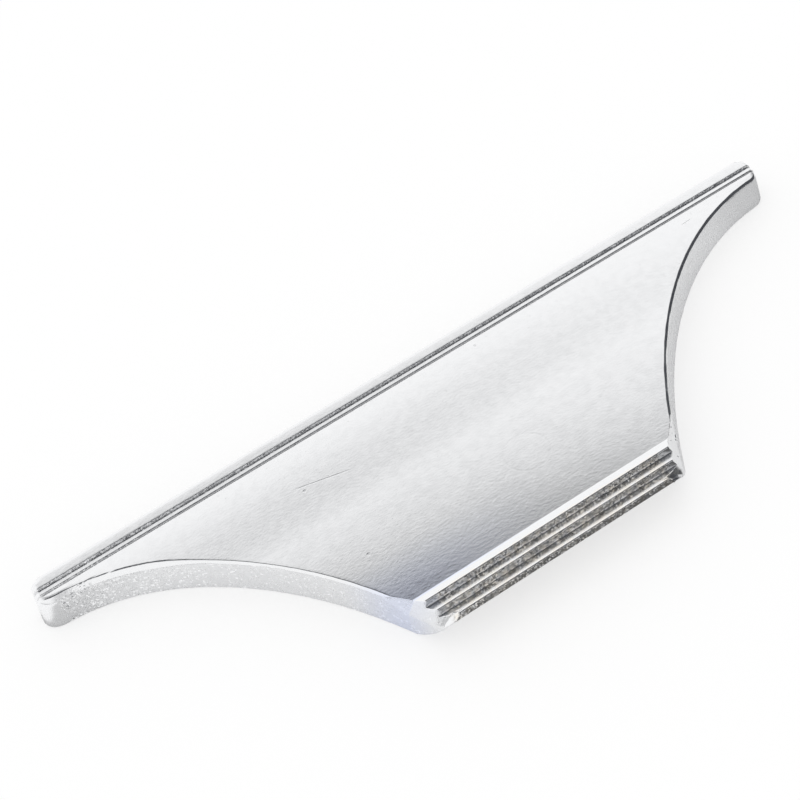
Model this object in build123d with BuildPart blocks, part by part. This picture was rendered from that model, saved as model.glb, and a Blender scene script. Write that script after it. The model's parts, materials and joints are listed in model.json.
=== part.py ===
from build123d import *
from math import cos, radians, sin, tan
import os

# Cabinet pull, a casting in one piece.
# X runs along the long edge, Y across the plate with the long edge at +Y, and Z is up
# from the flat back. The origin is the middle of the footprint, on the back face.

# Two blind holes in the back, drilled for M4 threads at 64 mm centres
screw_spacing = 64.0
screw_inset = 5.8
tap_drill_radius = 1.65
tap_mouth_chamfer = 0.25
floor_over_tap = 0.75

# Plan of the casting, in millimetres and degrees
screw_to_tip = 18.8
overall_width = 34.0
lip_length = 30.8
lip_corner_radius = 1.5
tip_length = 3.6
tip_width = 4.25
tip_heel_radius = 0.8
tip_toe_radius = 1.7
tip_draft = 11.5
sweep_start_angle = 6.5
sweep_end_angle = 22.3
sweep_start_pull = 15.2
sweep_end_pull = 13.5
wall_draft = 6.2

# Section of the plate, from the long edge to the lip
edge_thickness = 3.8
lip_thickness = 4.95
plate_crown = 0.26
bead_radius = 0.65
bead_centre_height = 4.3
rib_width = 0.5
rib_height = 4.2
rib_step_width = 0.1

# Saw-tooth ridges on the lip
tooth_count = 3
tooth_pitch = 1.47
tooth_drop = 0.35
first_tooth_rise = 0.5
riser_height = 0.72
riser_run = 0.24
last_riser_height = 0.58
nose_radius = 0.16
root_radius = 0.12

# Ends of the lip, which lean in above a shoulder
lip_shoulder_height = 2.6
lip_end_lean = 30.0

# Finger relief under the lip
relief_depth = 4.0
relief_bulge = 0.35

# Rounding of the edges
bead_end_radius = 0.9
sweep_edge_radius = 0.5
back_edge_radius = 0.3

# Stock beyond the finished faces, which is trimmed away
trim_margin = 1.0

# Places and heights that follow from the sizes above
overall_length = screw_spacing + 2 * screw_to_tip
plate_start = 2 * bead_radius + rib_width + rib_step_width
lip_start = overall_width - tooth_count * tooth_pitch
bead_top = bead_centre_height + bead_radius
first_nose_height = lip_thickness + first_tooth_rise
stock_height = max(bead_top, first_nose_height) + trim_margin
tap_depth = edge_thickness - floor_over_tap


def across(distance):
    """Y of a point at this distance from the long edge."""
    return overall_width / 2 - distance


def ridge_corners():
    """Nose and root of each ridge, from the plate to the outer edge of the lip."""
    noses = []
    roots = []
    for ridge in range(tooth_count):
        foot = lip_start + (ridge + 1) * tooth_pitch
        height = first_nose_height - ridge * tooth_drop
        drop = last_riser_height if ridge == tooth_count - 1 else riser_height
        noses.append((across(foot - riser_run), height))
        roots.append((across(foot), height - drop))
    return noses, roots


def corners_at(sketch, points):
    """Corners of a sketch that stand on the given points."""
    return [
        corner
        for corner in sketch.vertices()
        if any((Vector(*corner) - Vector(*point)).length < 1e-4 for point in points)
    ]


def bead_profile():
    """Bead and rib along the long edge."""
    bead_foot = across(2 * bead_radius)
    rib_end = bead_foot - rib_width
    with BuildSketch(Plane.YZ) as profile:
        with BuildLine():
            Polyline(
                (across(-trim_margin), -trim_margin),
                (across(-trim_margin), bead_centre_height),
                (across(0), bead_centre_height),
            )
            ThreePointArc(
                (across(0), bead_centre_height),
                (across(bead_radius), bead_top),
                (bead_foot, bead_centre_height),
            )
            Polyline(
                (bead_foot, bead_centre_height),
                (bead_foot, rib_height),
                (rib_end, rib_height),
                (across(plate_start), edge_thickness),
                (across(plate_start), -trim_margin),
                (across(-trim_margin), -trim_margin),
            )
        make_face()
    return profile.sketch


def plate_profile():
    """Crowned plate, thicker at the lip than at the long edge."""
    rear = (across(0), edge_thickness)
    front = (across(lip_start), lip_thickness)
    middle = ((rear[0] + front[0]) / 2, (rear[1] + front[1]) / 2 + plate_crown)
    with BuildSketch(Plane.YZ) as profile:
        with BuildLine():
            ThreePointArc(rear, middle, front)
            Polyline(
                front,
                (front[0], -trim_margin),
                (across(-trim_margin), -trim_margin),
                (across(-trim_margin), edge_thickness),
                rear,
            )
        make_face()
    return profile.sketch


def lip_profile():
    """Saw-tooth ridges in front and the finger relief behind them."""
    noses, roots = ridge_corners()
    outline = [(across(lip_start), lip_thickness)]
    for nose, root in zip(noses, roots):
        outline += [nose, root]
    edge = roots[-1]
    relief_end = (across(overall_width - relief_depth), 0)
    relief_middle = (
        (edge[0] + relief_end[0]) / 2 - relief_bulge,
        (edge[1] + relief_end[1]) / 2 - relief_bulge,
    )
    with BuildSketch(Plane.YZ) as profile:
        with BuildLine():
            Polyline(*outline)
            ThreePointArc(edge, relief_middle, relief_end)
            Polyline(
                relief_end,
                (relief_end[0], -trim_margin),
                (across(lip_start), -trim_margin),
                outline[0],
            )
        make_face()
        fillet(corners_at(profile, noses), nose_radius)
        fillet(corners_at(profile, roots[:-1]), root_radius)
    return profile.sketch


def lip_stock():
    """Stock over the lip, whose ends lean in above the shoulder."""
    end = radians(sweep_end_angle)
    lean_height = stock_height - lip_shoulder_height
    margin = lean_height * tan(radians(lip_end_lean))
    shoulder = lip_length / 2 - lip_shoulder_height * tan(radians(wall_draft)) * cos(end)
    half_front = shoulder - margin * tan(end)
    half_rear = shoulder + (overall_width - lip_start + margin) * tan(end)
    front = across(overall_width + margin)
    rear = across(lip_start - margin)
    with BuildPart() as stock:
        with BuildSketch(Plane.XY.offset(lip_shoulder_height)):
            with BuildLine():
                Polyline(
                    (-half_front, front), (half_front, front), (half_rear, rear), (-half_rear, rear), close=True
                )
            make_face()
        extrude(amount=lean_height, taper=lip_end_lean)
        Box(
            overall_length,
            2 * overall_width,
            lip_shoulder_height,
            align=(Align.CENTER, Align.CENTER, Align.MIN),
        )
    return stock.part


def end_of_tip(height):
    """X of a tip's end face at this height."""
    return overall_length / 2 - height * tan(radians(tip_draft))


def half_plan(height):
    """Right half of the plan at this height, drawn in all round by the draft."""
    inset = height * tan(radians(wall_draft))
    start = radians(sweep_start_angle)
    end = radians(sweep_end_angle)
    heel = (end_of_tip(height), across(0))
    sweep_start = (overall_length / 2 - tip_length, across(tip_width - inset))
    toe = (heel[0], sweep_start[1] + (heel[0] - sweep_start[0]) * tan(start))
    lip_corner = (lip_length / 2 - inset * cos(end), across(overall_width))
    with BuildSketch(Plane.XY.offset(height)) as plan:
        with BuildLine():
            Polyline((0, heel[1]), heel, toe, sweep_start)
            Bezier(
                sweep_start,
                (
                    sweep_start[0] - sweep_start_pull * cos(start),
                    sweep_start[1] - sweep_start_pull * sin(start),
                ),
                (
                    lip_corner[0] + sweep_end_pull * sin(end),
                    lip_corner[1] + sweep_end_pull * cos(end),
                ),
                lip_corner,
            )
            Polyline(lip_corner, (0, lip_corner[1]), (0, heel[1]))
        make_face()
        fillet(corners_at(plan, [heel]), tip_heel_radius)
        fillet(corners_at(plan, [toe]), tip_toe_radius)
        fillet(corners_at(plan, [lip_corner]), lip_corner_radius)
    return plan.sketch


def rounded_front():
    """Front view of the long edge, with both ends rounded over at the top."""
    foot = end_of_tip(0)
    shoulder = end_of_tip(bead_top)
    outline = [(-foot, 0), (foot, 0), (shoulder, bead_top), (-shoulder, bead_top)]
    with BuildSketch(Plane.XZ) as view:
        with BuildLine():
            Polyline(*outline, close=True)
        make_face()
        fillet(corners_at(view, outline[2:]), bead_end_radius)
    return view.sketch


# Blank with the plan of the casting: two concave sweeps and drafted walls
with BuildPart() as blank:
    loft([half_plan(0), half_plan(stock_height)], ruled=True)
    mirror(about=Plane.YZ)

# Bead and rib, rounded over at both ends
with BuildPart() as bead:
    extrude(bead_profile(), amount=overall_length / 2, both=True)
    extrude(rounded_front(), amount=overall_width, both=True, mode=Mode.INTERSECT)
    add(blank.part, mode=Mode.INTERSECT)

# Plate up to the ridges, rounded along both sweeps and round the tips
with BuildPart() as plate:
    extrude(plate_profile(), amount=overall_length / 2, both=True)
    add(blank.part, mode=Mode.INTERSECT)
    front = plate.faces().filter_by(GeomType.CYLINDER).sort_by(SortBy.AREA)[-1]
    fillet(front.edges().filter_by(Axis.X, reverse=True), sweep_edge_radius)

# Whole casting
with BuildPart() as pull:
    extrude(lip_profile(), amount=overall_length / 2, both=True)
    add(blank.part, mode=Mode.INTERSECT)
    add(lip_stock(), mode=Mode.INTERSECT)
    add(plate.part)
    add(bead.part)
    back = pull.faces().sort_by(Axis.Z)[0]
    fillet(back.edges(), back_edge_radius)

    # Blind tapped holes in the back, square at the bottom
    back_plane = Plane(origin=(0, across(screw_inset), 0), z_dir=(0, 0, -1))
    with BuildSketch(back_plane):
        with GridLocations(screw_spacing, 0, 2, 1):
            Circle(tap_drill_radius)
    extrude(amount=-tap_depth, mode=Mode.SUBTRACT)
    back = pull.faces().sort_by(Axis.Z)[0]
    chamfer(back.inner_wires().edges(), tap_mouth_chamfer)

pull.part.label = "pull"
os.makedirs("parts", exist_ok=True)
export_step(pull.part, "parts/pull.step")
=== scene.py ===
import json
from math import cos, hypot, pi, radians, sin, sqrt, tan
from types import SimpleNamespace

import bmesh
import bpy
from mathutils import Matrix, Vector, noise
from mathutils.bvhtree import BVHTree
from mathutils.kdtree import KDTree


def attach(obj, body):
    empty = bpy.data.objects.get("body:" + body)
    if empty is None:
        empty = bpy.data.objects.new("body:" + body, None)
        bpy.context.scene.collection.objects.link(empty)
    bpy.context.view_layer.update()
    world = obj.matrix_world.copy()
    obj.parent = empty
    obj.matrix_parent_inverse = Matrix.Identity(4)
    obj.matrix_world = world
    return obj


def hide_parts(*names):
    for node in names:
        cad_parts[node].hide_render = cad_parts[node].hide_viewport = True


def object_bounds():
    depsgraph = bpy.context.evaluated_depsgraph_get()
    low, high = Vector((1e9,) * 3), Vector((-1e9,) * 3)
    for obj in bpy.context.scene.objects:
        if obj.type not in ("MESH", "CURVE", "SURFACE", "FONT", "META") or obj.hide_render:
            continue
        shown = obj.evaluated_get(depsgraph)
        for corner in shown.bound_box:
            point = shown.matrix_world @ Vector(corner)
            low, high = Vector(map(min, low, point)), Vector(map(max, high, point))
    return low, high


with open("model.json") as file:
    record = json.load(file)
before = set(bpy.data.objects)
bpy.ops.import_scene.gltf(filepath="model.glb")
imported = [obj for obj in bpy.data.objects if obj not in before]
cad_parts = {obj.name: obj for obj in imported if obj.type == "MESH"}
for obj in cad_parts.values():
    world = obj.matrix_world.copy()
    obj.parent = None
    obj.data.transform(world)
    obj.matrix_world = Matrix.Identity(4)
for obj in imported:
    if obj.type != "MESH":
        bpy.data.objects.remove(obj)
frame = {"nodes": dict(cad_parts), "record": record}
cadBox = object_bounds()
scene = bpy.context.scene
scene.view_settings.view_transform = "Standard"
mm = 0.001
longEdge = cadBox[1][1]    # Y of the long edge, from which distances across the plate are taken
lipEdge = cadBox[0][1]
white = (1.0, 1.0, 1.0, 1.0)
black = (0.0, 0.0, 0.0, 1.0)


# Short calls for building a node tree
class Nodes:

    def __init__(self, tree):
        self.tree = tree

    def add(self, kind, inputs=None, **settings):
        node = self.tree.nodes.new(kind)
        for name, value in settings.items():
            setattr(node, name, value)
        for socket, value in (inputs or {}).items():
            self.feed(node.inputs[socket], value)
        return node

    def feed(self, socket, value):
        if isinstance(value, bpy.types.NodeSocket):
            self.tree.links.new(value, socket)
        else:
            socket.default_value = value

    def math(self, operation, a, b=0.5):
        return self.add("ShaderNodeMath", {0: a, 1: b}, operation=operation).outputs[0]

    def product(self, first, *others):
        for other in others:
            first = self.math("MULTIPLY", first, other)
        return first

    def largest(self, first, *others):
        for other in others:
            first = self.math("MAXIMUM", first, other)
        return first

    def vector(self, operation, a, b):
        return self.add("ShaderNodeVectorMath", {0: a, 1: b}, operation=operation).outputs[0]

    def split(self, vector):
        return self.add("ShaderNodeSeparateXYZ", {0: vector}).outputs

    # Smooth change from low to high while the value goes from start to end
    def span(self, value, start, end, low=0.0, high=1.0):
        settings = {"interpolation_type": "SMOOTHSTEP"}
        inputs = {"Value": value, "From Min": start, "From Max": end, "To Min": low, "To Max": high}
        return self.add("ShaderNodeMapRange", inputs, **settings).outputs[0]

    # Rise from nothing to the top over the first two places, and back over the last two
    def window(self, value, a, b, c, d, top=1.0):
        return self.product(self.span(value, a, b), self.span(value, c, d, top, 0.0))

    def noise(self, vector, scale, detail, roughness):
        inputs = {"Vector": vector, "Scale": scale, "Detail": detail, "Roughness": roughness}
        return self.add("ShaderNodeTexNoise", inputs).outputs["Fac"]

    def cells(self, vector, size):
        return self.add("ShaderNodeTexVoronoi", {"Vector": vector, "Scale": 1 / size}).outputs

    def blend(self, factor, a, b):
        node = self.add("ShaderNodeMix", data_type="RGBA")
        self.feed(node.inputs[0], factor)
        self.feed(node.inputs[6], a)
        self.feed(node.inputs[7], b)
        return node.outputs[2]

    # Grey tones at their places between 0 and 1
    def ramp(self, value, stops):
        node = self.add("ShaderNodeValToRGB", {"Fac": value})
        band = node.color_ramp
        band.interpolation = "LINEAR"
        for place, tone in stops[2:]:
            band.elements.new(place)
        for element, (place, tone) in zip(band.elements, stops):
            element.position = place
            element.color = (tone, tone, tone, 1)
        return node.outputs["Color"]


# Camera at the photo's viewing angle
cameraSetup = {
    "target": (0.0, longEdge, 0.0),     # foot of the long edge
    "distance": 169.31 * mm,
    "azimuth": -15.47,                  # degrees round from the lip side
    "elevation": 47.21,
    "roll": -19.54,
    "lens": 63.34,                      # on a 36 mm sensor
    "shift": (-0.0186, -0.0201),
    "nearest": 5 * mm,
}


def addCamera(setup):
    azimuth = radians(setup["azimuth"])
    elevation = radians(setup["elevation"])
    outward = Vector((sin(azimuth) * cos(elevation), -cos(azimuth) * cos(elevation), sin(elevation)))
    data = bpy.data.cameras.new("camera")
    data.lens = setup["lens"]
    data.shift_x, data.shift_y = setup["shift"]
    data.clip_start = setup["nearest"]
    camera = bpy.data.objects.new("camera", data)
    turn = outward.to_track_quat("Z", "Y").to_matrix().to_4x4()
    place = Matrix.Translation(Vector(setup["target"]) + setup["distance"] * outward)
    camera.matrix_world = place @ turn @ Matrix.Rotation(radians(setup["roll"]), 4, "Z")
    scene.collection.objects.link(camera)
    scene.camera = camera


# Studio as the metal sees it: pale sweep behind, pale panel at the left, a smaller one in front
# and a dark room above. Azimuths are degrees from the rear towards the right, and elevations are
# degrees up.
studio = {
    "sweepTones": (                     # elevation and tone, as the sweep fades into the room
        (36.0, 1.04), (42.0, 1.00), (45.5, 0.95), (47.5, 0.90), (49.5, 0.83),
        (51.0, 0.75), (52.3, 0.60), (53.3, 0.36), (54.6, 0.12), (57.0, 0.00),
    ),
    "sweepLeft": (-110.0, -80.0),
    "sweepRight": (46.0, 72.0),
    "panelSide": (-170.0, -155.0, -75.0, -60.0),
    "panelHeight": (2.0, 10.0, 60.0, 74.0),
    "panelLevel": 0.97,
    "frontSide": (135.0, 155.0),        # on both sides of the middle
    "frontHeight": (14.0, 22.0, 47.0, 54.0),
    "frontLevel": 0.62,
    "room": (0.055, 0.058, 0.066, 1.0),
}


def addStudio(look):
    world = bpy.data.worlds.new("studio")
    world.use_nodes = True
    scene.world = world
    tree = world.node_tree
    n = Nodes(tree)
    x, y, z = n.split(n.add("ShaderNodeTexCoord").outputs["Generated"])
    elevation = n.product(n.math("ARCSINE", z), 180 / pi)
    azimuth = n.product(n.math("ARCTAN2", x, y), 180 / pi)

    tones = look["sweepTones"]
    low, high = tones[0][0], tones[-1][0]
    share = n.math("DIVIDE", n.math("SUBTRACT", elevation, low), high - low)
    fading = n.ramp(share, [((angle - low) / (high - low), tone) for angle, tone in tones])
    sideways = n.product(n.span(azimuth, *look["sweepLeft"]), n.span(azimuth, *look["sweepRight"], 1.0, 0.0))
    sweep = n.product(sideways, fading)
    upward = n.window(elevation, *look["panelHeight"], look["panelLevel"])
    panel = n.product(n.window(azimuth, *look["panelSide"]), upward)
    upward = n.window(elevation, *look["frontHeight"], look["frontLevel"])
    front = n.product(n.span(n.math("ABSOLUTE", azimuth), *look["frontSide"]), upward)

    reflected = n.blend(n.largest(sweep, panel, front), look["room"], white)
    glossy = n.add("ShaderNodeLightPath").outputs["Is Glossy Ray"]
    n.feed(tree.nodes["Background"].inputs["Color"], n.blend(glossy, white, reflected))


# Pale floor, whose tones below are only what the metal sees of it. Sizes are in millimetres.
floorLook = {
    "reach": 2000.0,                    # half its width
    "below": 0.02,                      # gap under the pull
    "middle": 0.88,
    "ends": 0.58,
    "endsFrom": (40.0, 53.0),           # where it darkens, on both sides of the middle
    "pastTip": (-52.0, -51.0),          # where it is white again, past the left tip
    "behind": 2.0,                      # width over which it turns white under the long edge
    "front": 0.10,                      # in front of the lip
    "frontBand": (-2.0, 1.0),           # edge of that part, from the lip
    "frontFrom": (-15.0, -11.0),        # and its left end
    "roughness": 0.9,
    "glow": 0.62,                       # share of plain white in what the camera sees
}


def addFloor(look):
    half = look["reach"] * mm
    height = cadBox[0][2] - look["below"] * mm
    mesh = bpy.data.meshes.new("floor")
    corners = [(-half, -half), (half, -half), (half, half), (-half, half)]
    mesh.from_pydata([(x, y, height) for x, y in corners], [], [(0, 1, 2, 3)])
    floor = bpy.data.objects.new("floor", mesh)
    scene.collection.objects.link(floor)
    material = bpy.data.materials.new("paleFloor")
    material.use_nodes = True
    tree = material.node_tree
    n = Nodes(tree)
    x, y = n.split(n.add("ShaderNodeTexCoord").outputs["Object"])[:2]

    nearEnd, farEnd = look["endsFrom"]
    level = n.span(n.math("ABSOLUTE", x), nearEnd * mm, farEnd * mm, look["middle"], look["ends"])
    behind = n.span(y, longEdge - look["behind"] * mm, longEdge)
    outer, inner = look["pastTip"]
    level = n.largest(level, behind, n.span(x, outer * mm, inner * mm, 1.0, 0.0))
    outer, inner = look["frontBand"]
    front = n.span(y, lipEdge + outer * mm, lipEdge + inner * mm, 1.0, 0.0)
    outer, inner = look["frontFrom"]
    front = n.product(front, n.span(x, outer * mm, inner * mm))
    elsewhere = n.product(level, n.math("SUBTRACT", 1.0, front))
    level = n.math("ADD", elsewhere, n.product(front, look["front"]))

    rays = n.add("ShaderNodeLightPath").outputs
    shader = tree.nodes["Principled BSDF"]
    shader.inputs["Roughness"].default_value = look["roughness"]
    shader.inputs["Specular IOR Level"].default_value = 0.0
    n.feed(shader.inputs["Base Color"], n.blend(rays["Is Glossy Ray"], white, n.blend(level, black, white)))
    glow = n.add("ShaderNodeEmission", {"Color": white, "Strength": 1.0})
    share = n.product(rays["Is Camera Ray"], look["glow"])
    both = n.add("ShaderNodeMixShader", {0: share, 1: shader.outputs[0], 2: glow.outputs[0]})
    n.feed(tree.nodes["Material Output"].inputs["Surface"], both.outputs[0])
    mesh.materials.append(material)


addCamera(cameraSetup)
addStudio(studio)
addFloor(floorLook)
print("stage: camera, studio and floor")

# Detailed casting: the top is a grid of rows along the long edge, from which walls run down
# to the foot all round. Sizes are in millimetres: x along the long edge, "across" from it
# towards the lip, and z up from the back.
casting = {
    "probeBeside": 80.0,                # where measuring rays start, all outside the solid
    "probeAbove": 20.0,
    "probeBelow": 5.0,
    "rows": (                           # end of each zone across the plate, and its row spacing
        (0.24, 0.030),
        (1.50, 0.094),
        (2.52, 0.021),
        (6.50, 0.10),
        (29.30, 0.34),
        (34.00, 0.047),
    ),
    "columns": 150,
    "endColumns": 30,                   # more of them near each end, over this length
    "endLength": (14.0, 5.0),           # at the tips, and elsewhere
    "endLengthFrom": (5.5, 8.0),        # across the plate, from the one to the other
    "endCrowding": 1.2,
    "columnStretch": 3.0,               # at most, where a side runs aslant
    "edgeColumns": (0.05, 0.11, 0.17, 0.22, 0.27, 0.32, 0.40, 0.52, 0.68, 0.78, 0.90),
    "lipColumns": (0.25, 0.55, 0.82, 0.98, 1.03, 1.10, 1.22, 1.40, 1.70, 2.10, 2.70),
    "edgeZone": 3.0,                    # depth from the sides within which edges are shaped
    "tipZone": (6.0, 25.0),             # the same at the tips, across and along
    "outlineStep": 0.03,
    "skin": 0.004,                      # by which measuring stays inside the long edge and the lip
    "lipSkin": 0.03,                    # the same for the underside
    "bead": (                           # flat bead, its flank and the rib: across, height
        (0.00, 4.50), (0.03, 4.74), (0.10, 4.84), (0.22, 4.875), (0.45, 4.895), (0.70, 4.895),
        (0.95, 4.893), (1.45, 4.886), (1.56, 4.878), (1.60, 4.82), (1.62, 4.60), (1.65, 4.56),
        (1.72, 4.553), (2.30, 4.553), (2.345, 4.535), (2.365, 4.43), (2.40, 4.39),
    ),
    "plateRaised": 0.40,                # beside the rib, fading out at this distance
    "raisedTo": 15.0,
    "bevelAngle": 42.0,
    "bevelWidth": 0.25,                 # along the sweeps
    "bevelExtra": 0.22,                 # more of it near the left tip, and steeper
    "bevelSteeper": 9.0,
    "extraFrom": (30.5, 37.5),          # distance left of the middle
    "extraAcross": (2.6, 3.6),
    "bevelBlend": 0.0006,               # square millimetres, softens its inner edge
    "bevelFade": 0.2,
    "tipRounding": 0.90,
    "tipRoundingTo": (2.2, 4.0),        # across the plate, where the bevel takes over
    "lipLean": 30.0,                    # ends of the ridges lean in above the shoulder
    "lipShoulder": 3.3,
    "leanFrom": (27.0, 29.6),           # across the plate, from nothing to the full lean
    "deepest": 0.8,                     # share of the thickness that an edge may take
    "plainWall": 3.2,                   # height below which the solid's side is straight
    "lipStraight": (29.2, 31.2),        # across, where the sides of the lip are measured
    "lipMeasured": 2.5,                 # height of that
    "lipCorner": 1.5,
    "wallSteps": 7,
    "backRounding": 0.3,
    "backShare": 0.3,                   # of the thickness, at most
    "backAngles": (25.0, 50.0, 90.0),
    "sweepDraft": 6.2,
    "tipDraft": 11.3,
    "tipDraftFrom": (48.0, 49.5),
    "rightTipShort": (0.60, 0.88),      # at the top and at the foot
    "shortFrom": (46.0, 50.5),
    "shortTop": 4.6,
    "waviness": 0.006,
    "waveLength": 7.0,
    "waveFade": 0.1,                    # drop of an edge over which the waves die out
    "edgeWander": 0.035,
    "wanderLength": 1.6,
    "wanderFrom": 0.2,
    "seed": 4.7,
    "headroom": 0.001,                  # kept under the top of the solid
    "sharpAngle": 40.0,
}


# The CAD solid in x, across and z, for measuring walls and heights
def cadTree():
    points = []
    faces = []
    for node in frame["nodes"].values():
        start = len(points)
        for vertex in node.data.vertices:
            place = node.matrix_world @ vertex.co
            points.append(Vector((place.x, longEdge - place.y, place.z)) / mm)
        faces += [tuple(start + index for index in face.vertices) for face in node.data.polygons]
    return BVHTree.FromPolygons(points, faces)


# From 0 to 1 in a straight line, and the same smoothly
def between(value, start, end):
    return min(max((value - start) / (end - start), 0.0), 1.0)


def smooth(value, start, end):
    part = between(value, start, end)
    return part * part * (3 - 2 * part)


# How far a rounded edge lies below its flat at this depth from the wall
def rounding(depth, radius):
    if depth >= radius:
        return 0.0
    return radius - sqrt(max(radius * radius - (radius - max(depth, 0.0)) ** 2, 0.0))


def drift(x, across, length, seed):
    return noise.noise(Vector((x / length, across / length, seed)))


# Measures of the casting, taken from the CAD solid
class Casting:

    def __init__(self, setup):
        self.setup = setup
        self.tree = cadTree()
        self.width = (longEdge - lipEdge) / mm
        start, end = setup["lipStraight"]
        height = setup["lipMeasured"]
        self.lipSlope = (self.wall(end, height) - self.wall(start, height)) / (end - start)

    def hit(self, start, direction):
        return self.tree.ray_cast(Vector(start), Vector(direction))[0]

    # X of the solid's side, carried on straight above the height where its edge starts to round
    def wall(self, across, height):
        plain = min(height, self.setup["plainWall"])
        beside = self.setup["probeBeside"]
        place = self.hit((beside, across, plain), (-1, 0, 0)).x
        below = self.hit((beside, across, plain - 1), (-1, 0, 0)).x
        return place + (place - below) * (height - plain)

    def under(self, across, x=0):
        return self.hit((x, across, -self.setup["probeBelow"]), (0, 0, 1)).z

    # Height of the top at this distance from the long edge
    def section(self, across):
        bead = self.setup["bead"]
        for (start, low), (end, high) in zip(bead, bead[1:]):
            if across <= end:
                return low + (high - low) * (across - start) / (end - start)
        raised = self.setup["plateRaised"] * (1 - smooth(across, bead[-1][0], self.setup["raisedTo"]))
        return self.hit((0, across, self.setup["probeAbove"]), (0, 0, -1)).z + raised

    # How far the edge lies below the top at this depth from the wall
    def edgeDrop(self, x, across, height, under, depth):
        setup = self.setup
        extra = smooth(-x, *setup["extraFrom"]) * smooth(across, *setup["extraAcross"])
        width = setup["bevelWidth"] + setup["bevelExtra"] * extra
        rise = (width - depth) * tan(radians(setup["bevelAngle"] + setup["bevelSteeper"] * extra))
        bevel = 0.0
        if rise > -setup["bevelFade"]:
            bevel = (rise + sqrt(rise * rise + setup["bevelBlend"])) / 2
        atTip = 1 - smooth(across, *setup["tipRoundingTo"])
        radius = min(setup["tipRounding"], (height - under) * setup["deepest"])
        drop = bevel + (rounding(depth, radius) - bevel) * atTip
        return max(drop, (self.leanWidth(across, height, under) - depth) / tan(radians(setup["lipLean"])))

    # How far the lean reaches in from the side
    def leanWidth(self, across, height, under):
        setup = self.setup
        depth = min(height - setup["lipShoulder"], (height - under) * setup["deepest"])
        return depth * tan(radians(setup["lipLean"])) * between(across, *setup["leanFrom"])

    # X of the side wall at this height
    def side(self, across, height):
        straight = self.setup["lipStraight"][0]
        if across <= straight:
            return self.wall(max(across, self.setup["skin"]), height)
        corner = self.setup["lipCorner"]
        left = max(corner - (self.width - across), 0.0)
        cut = corner - sqrt(max(corner * corner - left * left, 0.0))
        return self.wall(straight, height) + self.lipSlope * (across - straight) - cut


def rowPlaces(setup):
    places = [0.0]
    for end, spacing in setup["rows"]:
        start = places[-1]
        count = max(1, round((end - start) / spacing))
        places += [start + (end - start) * (index + 1) / count for index in range(count)]
    return places


# For each row: place, height, underside, drop at the edge, half length and wall direction
def castingRows(cast):
    rows = []
    for across in rowPlaces(cast.setup):
        across = min(across, cast.width - cast.setup["skin"])
        height = cast.section(across)
        under = cast.under(min(across, cast.width - cast.setup["lipSkin"]))
        drop = cast.edgeDrop(1, across, height, under, 0)
        half = cast.side(across, height - drop)
        rows.append(SimpleNamespace(across=across, height=height, under=under, drop=drop, half=half))
    for index, row in enumerate(rows):
        before = rows[max(index - 1, 0)]
        after = rows[min(index + 1, len(rows) - 1)]
        run = Vector((after.half - before.half, after.across - before.across)).normalized()
        row.normal = Vector((run.y, -run.x))
    return rows


# Search tree over the outline of the sides
def edgeLookup(rows, spacing):
    points = []
    for row, after in zip(rows, rows[1:]):
        count = max(1, round(hypot(after.half - row.half, after.across - row.across) / spacing))
        for step in range(count):
            part = step / count
            x = row.half + (after.half - row.half) * part
            points.append((x, row.across + (after.across - row.across) * part, 0))
    lookup = KDTree(len(points))
    for index, place in enumerate(points):
        lookup.insert(place, index)
    lookup.balance()
    return lookup


# X of the points in a row, closer together towards its ends
def columnPlaces(setup, row):
    atTip, elsewhere = setup["endLength"]
    endLength = atTip + (elsewhere - atTip) * smooth(row.across, *setup["endLengthFrom"])
    stretch = 1 / max(abs(row.normal.x), 1 / setup["columnStretch"])
    depths = [depth * stretch for depth in setup["edgeColumns"]]
    if row.across > setup["leanFrom"][0]:
        lean = max(row.drop * tan(radians(setup["lipLean"])), setup["bevelWidth"]) * stretch
        depths = [lean * part for part in setup["lipColumns"]]
    count = setup["endColumns"]
    start = depths[-1]
    for index in range(count):
        depths.append(start + (endLength - start) * ((index + 1) / count) ** setup["endCrowding"])
    ends = [row.half] + [row.half - depth for depth in depths]
    count = setup["columns"]
    middle = [ends[-1] - 2 * ends[-1] * (index + 1) / count for index in range(count - 1)]
    return [-x for x in ends] + [-x for x in middle] + ends[::-1]


# Height of the top at this place, with its shaped edges and slight waves
def topHeight(cast, lookup, row, x):
    setup = cast.setup
    inward = row.half - abs(x)
    tipAcross, tipAlong = setup["tipZone"]
    drop = 0.0
    if inward * abs(row.normal.x) < setup["edgeZone"] or row.across < tipAcross and inward < tipAlong:
        depth = 0.0
        if inward > 1e-6:
            depth = lookup.find((abs(x), row.across, 0))[2]
            wander = setup["edgeWander"] * drift(x, row.across, setup["wanderLength"], setup["seed"])
            depth += wander * min(depth / setup["wanderFrom"], 1)
        drop = cast.edgeDrop(x, row.across, row.height, row.under, depth)
    wave = setup["waviness"] * drift(x, row.across, setup["waveLength"], setup["seed"] + 3)
    wave *= max(1 - drop / setup["waveFade"], 0)
    return min(row.height - drop + wave, cadBox[1][2] / mm - setup["headroom"])


# Outline of the top: point, row, and the direction that the wall below it faces
def topOutline(rows, grid):
    last = len(grid) - 1
    inner = range(1, len(grid[0]) - 1)
    loop = [(grid[0][index], 0, Vector((0, -1))) for index in inner]
    loop += [(grid[row][-1], row, rows[row].normal) for row in range(last + 1)]
    loop += [(grid[last][index], last, Vector((0, 1))) for index in reversed(inner)]
    for row in range(last, -1, -1):
        normal = rows[row].normal
        loop.append((grid[row][0], row, Vector((-normal.x, normal.y))))
    return loop


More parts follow.
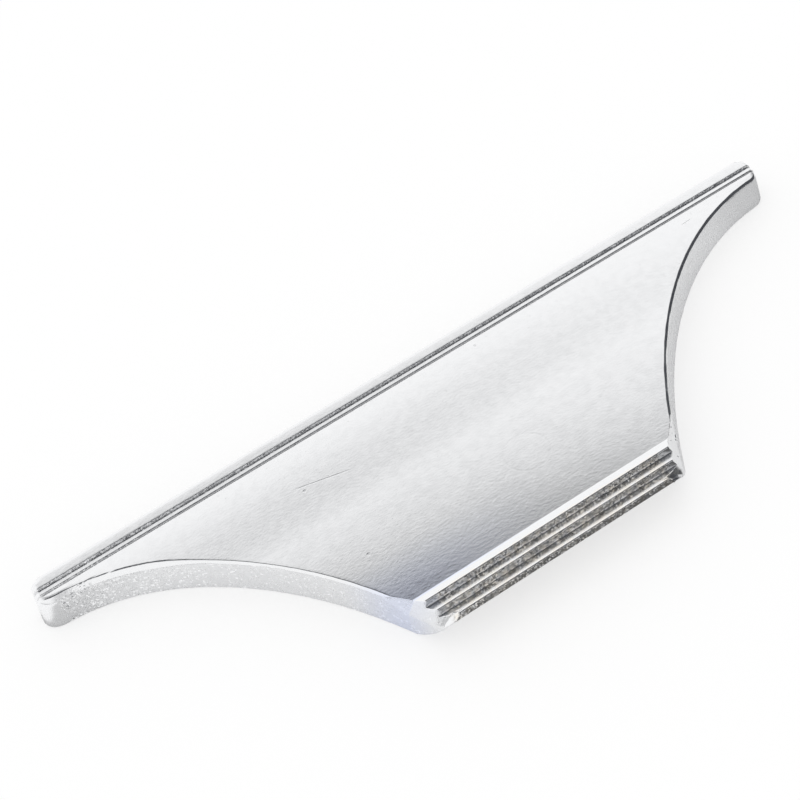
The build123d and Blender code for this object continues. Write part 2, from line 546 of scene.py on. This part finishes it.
# Rings of points down the walls and round the edge of the back
def wallRings(cast, rows, loop, points):
    setup = cast.setup
    steps = setup["wallSteps"]
    levels = [(step / steps, 0.0) for step in range(1, steps + 1)]
    levels += [(1, radians(angle)) for angle in setup["backAngles"]]
    rings = [[index for index, row, normal in loop]]
    for part, angle in levels:
        ring = []
        for index, row, normal in loop:
            x, across, top = points[index]
            thickness = top - rows[row].under
            back = min(setup["backRounding"], thickness * setup["backShare"])
            atTip = smooth(abs(x), *setup["tipDraftFrom"]) * abs(normal.x)
            draft = setup["sweepDraft"] + (setup["tipDraft"] - setup["sweepDraft"]) * atTip
            if normal.y < -0.99 or row == len(rows) - 1:    # the long edge and the lip stand upright
                draft = 0.0
            depth = (thickness - back) * part
            out = depth * tan(radians(draft)) - back * (1 - cos(angle))
            ring.append(len(points))
            place = min(across + max(normal.y, 0) * out, cast.width)
            points.append([x + normal.x * out, place, top - depth - back * sin(angle)])
        rings.append(ring)
    return rings


# Back and finger relief, in strips from side to side
def backFaces(foot, columns, last):
    rear = columns - 2
    front = rear + last + 1
    rightEnd = [foot[rear + row] for row in range(last + 1)]
    leftEnd = [foot[front + rear + last - row] for row in range(last + 1)]
    faces = [[leftEnd[0]] + foot[:rear] + [rightEnd[0], rightEnd[1], leftEnd[1]]]
    for row in range(1, last - 1):
        faces.append((leftEnd[row], rightEnd[row], rightEnd[row + 1], leftEnd[row + 1]))
    frontRow = foot[front:front + rear]
    faces.append([leftEnd[last - 1], rightEnd[last - 1], rightEnd[last]] + frontRow + [leftEnd[last]])
    return faces


# The right tip is a little shorter than the left one
def shortenRightTip(setup, points):
    atTop, atFoot = setup["rightTipShort"]
    for point in points:
        x, across, z = point
        if x > setup["shortFrom"][0]:
            short = atTop + (atFoot - atTop) * max(1 - z / setup["shortTop"], 0.0)
            point[0] -= short * smooth(x, *setup["shortFrom"])


def buildCasting(cast):
    rows = castingRows(cast)
    lookup = edgeLookup(rows, cast.setup["outlineStep"])
    points = []
    grid = []
    for row in rows:
        places = columnPlaces(cast.setup, row)
        grid.append(list(range(len(points), len(points) + len(places))))
        points += [[x, row.across, topHeight(cast, lookup, row, x)] for x in places]
    faces = []
    columns = len(grid[0])
    for line, after in zip(grid, grid[1:]):
        for index in range(columns - 1):
            faces.append((line[index], line[index + 1], after[index + 1], after[index]))
    loop = topOutline(rows, grid)
    rings = wallRings(cast, rows, loop, points)
    for ring, after in zip(rings, rings[1:]):
        for index in range(len(loop)):
            following = (index + 1) % len(loop)
            faces.append((ring[index], after[index], after[following], ring[following]))
    faces += backFaces(rings[-1], columns, len(rows) - 1)
    shortenRightTip(cast.setup, points)

    places = [(x * mm, longEdge - across * mm, z * mm) for x, across, z in points]
    mesh = bpy.data.meshes.new("pull_casting")
    mesh.from_pydata(places, [], faces)
    bm = bmesh.new()
    bm.from_mesh(mesh)
    bmesh.ops.recalc_face_normals(bm, faces=bm.faces)
    bm.to_mesh(mesh)
    bm.free()
    piece = bpy.data.objects.new("pull_casting", mesh)
    scene.collection.objects.link(piece)
    return piece


# Blind tapped holes in the back, at the record's places and as deep as the solid's
holes = {
    "mouthChamfer": 0.25,
    "below": 0.5,                       # how far the drill starts under the back
    "turns": 48,
}


def drillHoles(piece, cast, setup):
    mount = next(row for row in frame["record"]["mounts"] if row["name"] == "screw_holes")
    radius = mount["dims"]["hole_r_mm"]
    apart = mount["dims"]["spacing_x_mm"] / 2
    middleY = mount["pos_m"][1]
    bottom = cast.under((longEdge - middleY) / mm, apart)
    chamfer = setup["mouthChamfer"]
    outline = [(radius + chamfer + setup["below"], -setup["below"]), (radius, chamfer), (radius, bottom)]
    turns = setup["turns"]
    bm = bmesh.new()
    for side in (-1, 1):
        rings = []
        for distance, z in outline:
            ring = []
            for turn in range(turns):
                angle = 2 * pi * turn / turns
                x = side * apart + distance * cos(angle)
                y = middleY / mm + distance * sin(angle)
                ring.append(bm.verts.new((x * mm, y * mm, z * mm)))
            rings.append(ring)
        bm.faces.new(reversed(rings[0]))
        bm.faces.new(rings[-1])
        for ring, after in zip(rings, rings[1:]):
            for turn in range(turns):
                following = (turn + 1) % turns
                bm.faces.new((ring[turn], ring[following], after[following], after[turn]))
    bmesh.ops.recalc_face_normals(bm, faces=bm.faces)
    mesh = bpy.data.meshes.new("drill")
    bm.to_mesh(mesh)
    bm.free()
    drill = bpy.data.objects.new("drill", mesh)
    scene.collection.objects.link(drill)
    cut = piece.modifiers.new("holes", "BOOLEAN")
    cut.operation = "DIFFERENCE"
    cut.solver = "EXACT"
    cut.object = drill
    graph = bpy.context.evaluated_depsgraph_get()
    result = bpy.data.meshes.new_from_object(piece.evaluated_get(graph))
    piece.modifiers.clear()
    piece.data = result
    bpy.data.objects.remove(drill)
    for face in result.polygons:
        face.use_smooth = True
    result.set_sharp_from_angle(angle=radians(cast.setup["sharpAngle"]))


# Plated casting. Places are x and across in millimetres, facings are parts of the normal towards
# the long edge or up, and noises are patches per millimetre, detail and roughness.
plating = {
    "colour": (0.925, 0.93, 0.94, 1.0),
    "coldTint": (0.80, 0.84, 0.97, 1.0),    # at the lower left of the plate
    "warmTint": (0.95, 0.90, 0.82, 1.0),    # worn ridges
    "roughness": (0.14, 0.21),
    "dullNoise": (0.9, 4.0, 0.65),
    "dullSpread": (0.3, 0.7),           # part of that noise which counts
    "wallDuller": 0.10,
    "hollowRoughness": 0.22,            # worn hollows between the ridges
    "peelNoise": (1 / 0.30, 3.0, 0.55),
    "peelDepth": 0.0065,
    "peelDrawn": (0.65, 1.0, 1.0),      # longer along the long edge than across
    "wallNoise": (1.1, 4.0, 0.6),
    "wallDepth": 0.012,
    "crystalSize": 0.19,
    "crystalTilt": 0.26,
    "crystalShare": 0.20,               # part of the crystals that catch the light
    "crystalLift": (0.50, 0.95),        # how far those turn up, on the ridges and on the walls
    "liftTurn": (0.2, 0.8),             # wall mask from the one to the other
    "crystalLeast": 0.02,
    "pitSpacing": 1.1,
    "pitNoise": (0.35, 2.0, 0.5),
    "pitSpread": (0.35, 0.7),
    "pitSize": (0.03, 0.10),
    "pitDepth": 0.011,
    "markDepth": 0.010,
    "markDulls": 0.15,
    "ring": (3.45, 21.1, 2.6),          # x, across, radius
    "ringWidth": (0.04, 0.20),
    "ringLevel": 0.12,
    "scratch": (-20.1, 8.2, -12.3, 10.3),   # x and across of both ends
    "scratchWidth": 0.12,
    "scratchLevel": 0.5,
    "dash": (36.9, 4.2, 38.7, 4.1),
    "dashWidth": 0.10,
    "spots": ((-18.7, 9.3), (-17.0, 21.6), (7.4, 3.7)),
    "spotSize": (0.10, 0.26),
    "markFacing": (0.6, 0.9),
    "ridgesFrom": (30.2, 30.8),
    "ridgeEnds": (13.6, 13.9),          # distance from the middle
    "riserFacing": (-0.75, -0.45),
    "hollowFacing": (-0.4, -0.1),
    "hollowsFrom": (31.0, 31.3),
    "flank": (1.56, 1.59, 1.64, 1.68),
    "flankLevel": 0.8,
    "wallFacing": (0.35, 0.75),
    "leftWall": (-48.3, -47.7),         # crystals start past the rounding of the left tip
    "leftWallFading": (-46.0, -28.0),
    "leftWallLeast": 0.2,
    "rightWall": (36.0, 46.0),
    "rightWallMost": 0.1,
    "noLiftFrom": (20.0, 24.0),         # to the right of this, no wall crystal is turned up
    "coldTo": (-20.0, 4.0),             # x where the cold tint has faded, and across where it starts
    "coldFrom": (22.0, 29.0),
    "coldPlateTo": (29.6, 30.0),
    "coldWallTo": (29.5, 33.5),
    "coldWallLevel": 0.8,
    "warmNoise": (1.3, 3.0, 0.6),
    "warmSpread": (0.35, 0.65),
    "warmLevel": (0.1, 0.8),
    "warmTo": (13.4, 14.2),             # distance from the middle
}


# Mask of a straight fine mark between two places, which fades in and out over parts of its length
def lineMark(n, x, across, line, width):
    x0, a0, x1, a1 = line
    length = hypot(x1 - x0, a1 - a0)
    ux, ua = (x1 - x0) / length, (a1 - a0) / length
    dx = n.math("SUBTRACT", x, x0)
    da = n.math("SUBTRACT", across, a0)
    along = n.math("ADD", n.product(dx, ux), n.product(da, ua))
    beside = n.math("ABSOLUTE", n.math("SUBTRACT", n.product(da, ux), n.product(dx, ua)))
    ends = n.window(along, 0.0, length * 0.2, length * 0.7, length)
    return n.product(ends, n.span(beside, width * 0.3, width, 1.0, 0.0))


# Distance from a place on the plate
def distanceFrom(n, x, across, place):
    dx = n.math("POWER", n.math("ABSOLUTE", n.math("SUBTRACT", x, place[0])), 2.0)
    da = n.math("POWER", n.math("ABSOLUTE", n.math("SUBTRACT", across, place[1])), 2.0)
    return n.math("SQRT", n.math("ADD", dx, da))


# Faint ring, scratch, dash and spots on the top of the plate
def plateMarks(n, look, x, across, up):
    ringX, ringAcross, radius = look["ring"]
    fromRing = n.math("SUBTRACT", distanceFrom(n, x, across, (ringX, ringAcross)), radius)
    ring = n.span(n.math("ABSOLUTE", fromRing), *look["ringWidth"], 1.0, 0.0)
    scratch = lineMark(n, x, across, look["scratch"], look["scratchWidth"])
    dash = lineMark(n, x, across, look["dash"], look["dashWidth"])
    marks = n.largest(n.product(ring, look["ringLevel"]), n.product(scratch, look["scratchLevel"]), dash)
    for spot in look["spots"]:
        marks = n.largest(marks, n.span(distanceFrom(n, x, across, spot), *look["spotSize"], 1.0, 0.0))
    return n.product(marks, n.span(up, *look["markFacing"]))


def platedCasting(look):
    material = bpy.data.materials.new("platedCasting")
    material.use_nodes = True
    tree = material.node_tree
    n = Nodes(tree)
    shader = tree.nodes["Principled BSDF"]
    shader.inputs["Metallic"].default_value = 1.0
    place = n.add("ShaderNodeTexCoord").outputs["Object"]
    scaled = n.vector("MULTIPLY", place, (1 / mm, -1 / mm, 1 / mm))
    place = n.vector("ADD", scaled, (0.0, longEdge / mm, 0.0))
    x, across = n.split(place)[:2]
    fromMiddle = n.math("ABSOLUTE", x)
    rearward, up = n.split(n.add("ShaderNodeNewGeometry").outputs["True Normal"])[1:]

    # Where the skin of the casting was left rough: the risers, the flank of the bead and the walls
    onLip = n.span(across, *look["ridgesFrom"])
    riser = n.product(n.span(rearward, *look["riserFacing"], 1.0, 0.0), onLip)
    riser = n.product(riser, n.span(fromMiddle, *look["ridgeEnds"], 1.0, 0.0))
    flank = n.product(n.window(across, *look["flank"]), look["flankLevel"])
    wall = n.span(up, *look["wallFacing"], 1.0, 0.0)
    hollow = n.product(n.span(rearward, *look["hollowFacing"]), n.span(across, *look["hollowsFrom"]))
    fading = n.span(x, *look["leftWallFading"], 1.0, look["leftWallLeast"])
    roughWall = n.product(n.span(x, *look["leftWall"]), fading)
    roughWall = n.largest(roughWall, n.span(x, *look["rightWall"], 0.0, look["rightWallMost"]))
    crystals = n.largest(riser, flank, n.product(wall, roughWall))

    # Orange peel, wall skin, pits and marks
    peel = n.noise(n.vector("MULTIPLY", place, look["peelDrawn"]), *look["peelNoise"])
    wallSkin = n.noise(place, *look["wallNoise"])
    pitSize = n.span(n.noise(place, *look["pitNoise"]), *look["pitSpread"], *look["pitSize"])
    pits = n.math("LESS_THAN", n.cells(place, look["pitSpacing"])["Distance"], pitSize)
    marks = plateMarks(n, look, x, across, up)
    height = n.product(peel, look["peelDepth"])
    height = n.math("ADD", height, n.product(wallSkin, wall, look["wallDepth"]))
    height = n.math("SUBTRACT", height, n.product(pits, look["pitDepth"]))
    height = n.math("SUBTRACT", height, n.product(marks, look["markDepth"]))
    bump = n.add("ShaderNodeBump", {"Height": height, "Strength": 1.0, "Distance": mm}).outputs[0]

    # Crystals, each tilted a little, and some of them turned up to the light
    tilt = n.vector("SUBTRACT", n.cells(place, look["crystalSize"])["Color"], (0.5, 0.5, 0.5))
    amount = n.product(crystals, 2 * look["crystalTilt"])
    tilt = n.add("ShaderNodeVectorMath", {0: tilt, "Scale": amount}, operation="SCALE").outputs[0]
    dice = n.split(n.cells(scaled, look["crystalSize"])["Color"])[0]
    chosen = n.math("LESS_THAN", dice, n.product(crystals, look["crystalShare"]))
    lift = n.product(chosen, n.span(wall, *look["liftTurn"], *look["crystalLift"]))
    atRight = n.product(wall, n.span(x, *look["noLiftFrom"]))
    rough = n.math("GREATER_THAN", crystals, look["crystalLeast"])
    lift = n.product(lift, n.math("SUBTRACT", 1.0, atRight), rough)
    lift = n.add("ShaderNodeCombineXYZ", {2: lift}).outputs[0]
    tilted = n.vector("ADD", bump, n.vector("ADD", tilt, lift))
    facet = n.add("ShaderNodeVectorMath", {0: tilted}, operation="NORMALIZE")
    n.feed(shader.inputs["Normal"], facet.outputs[0])

    dull = n.span(n.noise(place, *look["dullNoise"]), *look["dullSpread"], *look["roughness"])
    dull = n.math("ADD", dull, n.product(wall, look["wallDuller"]))
    dull = n.largest(dull, n.product(hollow, look["hollowRoughness"]))
    n.feed(shader.inputs["Roughness"], n.math("ADD", dull, n.product(marks, look["markDulls"])))

    cold = n.product(n.span(x, *look["coldTo"], 1.0, 0.0), n.span(across, *look["coldFrom"]))
    onWall = n.product(wall, n.span(across, *look["coldWallTo"], look["coldWallLevel"], 0.0))
    cold = n.product(cold, n.largest(n.span(across, *look["coldPlateTo"], 1.0, 0.0), onWall))
    patches = n.noise(place, *look["warmNoise"])
    warm = n.product(onLip, n.span(patches, *look["warmSpread"], *look["warmLevel"]))
    warm = n.product(warm, n.span(fromMiddle, *look["warmTo"], 1.0, 0.0))
    colour = n.blend(cold, look["colour"], look["coldTint"])
    n.feed(shader.inputs["Base Color"], n.blend(warm, colour, look["warmTint"]))
    return material


finish = platedCasting(plating)
print("stage: plated finish")
measures = Casting(casting)
piece = buildCasting(measures)
drillHoles(piece, measures, holes)
piece.data.materials.clear()
piece.data.materials.append(finish)
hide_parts(*frame["nodes"])
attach(piece, "root")
print("stage: casting,", sum(len(face.vertices) - 2 for face in piece.data.polygons), "triangles")
